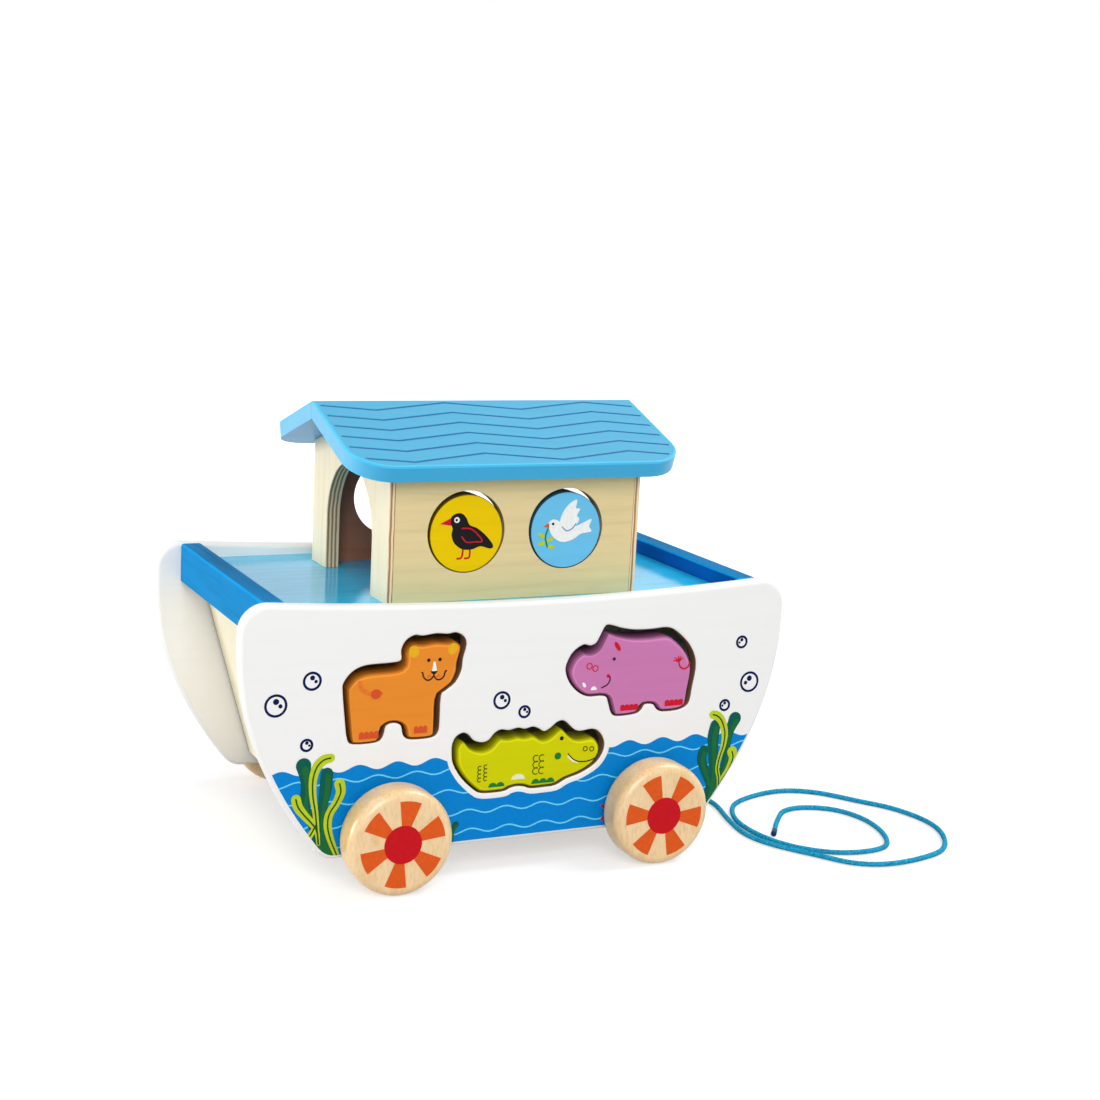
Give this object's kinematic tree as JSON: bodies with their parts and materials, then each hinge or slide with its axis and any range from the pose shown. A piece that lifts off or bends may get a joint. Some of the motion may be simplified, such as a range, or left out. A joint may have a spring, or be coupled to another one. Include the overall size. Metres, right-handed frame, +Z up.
{
  "type": "toy ark",
  "caption": "Pull-along wooden toy ark on wheels, with a shape-sorter side for loose animals, a ramp door on the other side, and a cabin with picture discs.",
  "frame": {"origin": "on the floor, under the middle of the hull", "axes": "+Z up, +X to the bow where the cord comes out, -Y to the sorter side, +Y to the door side"},
  "size_m": [0.4059, 0.2497, 0.2333],
  "materials": {
    "white_paint": "satin white paint on plywood",
    "cream_paint": "clear coat on pale plywood",
    "bare_plywood": "clear coat on pale plywood",
    "deck_paint": "thin light blue paint with the grain showing",
    "rail_paint": "satin blue paint",
    "roof_paint": "satin light blue paint",
    "dowel_wood": "bare beech",
    "wheel_wood": "clear coat on solid wood",
    "pin_steel": "drawn wire",
    "magnet": "nickel plate",
    "bear_paint": "satin orange paint",
    "hippo_paint": "satin pink paint",
    "croc_paint": "satin yellow-green paint",
    "yellow_paint": "satin yellow paint",
    "sky_paint": "satin light blue paint",
    "cord_fabric": "braided polyester cord",
    "cord_seal": "melted cord end"
  },
  "bodies": {
    "hull": {"side_panel_sorter": "white_paint", "side_panel_door": "white_paint", "end_board_stern": "cream_paint", "end_board_bow": "cream_paint", "floor_board": "bare_plywood", "deck_board": "deck_paint", "deck_rail_stern": "rail_paint", "deck_rail_bow": "rail_paint", "hull_dowels": "dowel_wood", "cabin_wall_sorter": "bare_plywood", "cabin_wall_door": "bare_plywood", "cabin_end_stern": "bare_plywood", "cabin_end_bow": "bare_plywood", "cabin_dowels": "dowel_wood", "roof_board_sorter": "roof_paint", "roof_board_door": "roof_paint", "door_hinge_pins": "pin_steel", "frame_magnet": "magnet", "pull_cord": "cord_fabric", "cord_knot": "cord_fabric", "cord_tip": "cord_seal"},
    "stern_wheelset": {"axle_stern": "dowel_wood", "wheel_stern_sorter": "wheel_wood", "wheel_stern_door": "wheel_wood"},
    "bow_wheelset": {"axle_bow": "dowel_wood", "wheel_bow_sorter": "wheel_wood", "wheel_bow_door": "wheel_wood"},
    "door": {"ramp_door": "white_paint", "door_magnet": "magnet"},
    "bear_piece": {"bear": "bear_paint"},
    "hippopotamus_piece": {"hippopotamus": "hippo_paint"},
    "crocodile_piece": {"crocodile": "croc_paint"},
    "raven_piece": {"raven_disc": "yellow_paint"},
    "dove_piece": {"dove_disc": "sky_paint"}
  },
  "joints": [
    {"name": "stern_axle_spin", "type": "hinge", "parent": "hull", "child": "stern_wheelset", "pos_m": [-0.073, 0, 0.0275], "axis": [0, 1, 0], "continuous": true},
    {"name": "bow_axle_spin", "type": "hinge", "parent": "hull", "child": "bow_wheelset", "pos_m": [0.073, 0, 0.0275], "axis": [0, 1, 0], "continuous": true},
    {"name": "ramp_hinge", "type": "hinge", "parent": "hull", "child": "door", "pos_m": [0, 0.0795, 0.0471], "axis": [-1, 0, 0], "range_deg": [0, 90]},
    {"name": "bear_slide", "type": "slide", "parent": "hull", "child": "bear_piece", "axis": [0, -1, 0], "range_m": [-0.02, 0.03]},
    {"name": "hippopotamus_slide", "type": "slide", "parent": "hull", "child": "hippopotamus_piece", "axis": [0, -1, 0], "range_m": [-0.02, 0.03]},
    {"name": "crocodile_slide", "type": "slide", "parent": "hull", "child": "crocodile_piece", "axis": [0, -1, 0], "range_m": [-0.02, 0.03]},
    {"name": "raven_disc_slide", "type": "slide", "parent": "hull", "child": "raven_piece", "axis": [0, -1, 0], "range_m": [-0.015, 0.025]},
    {"name": "dove_disc_slide", "type": "slide", "parent": "hull", "child": "dove_piece", "axis": [0, -1, 0], "range_m": [-0.015, 0.025]}
  ]
}
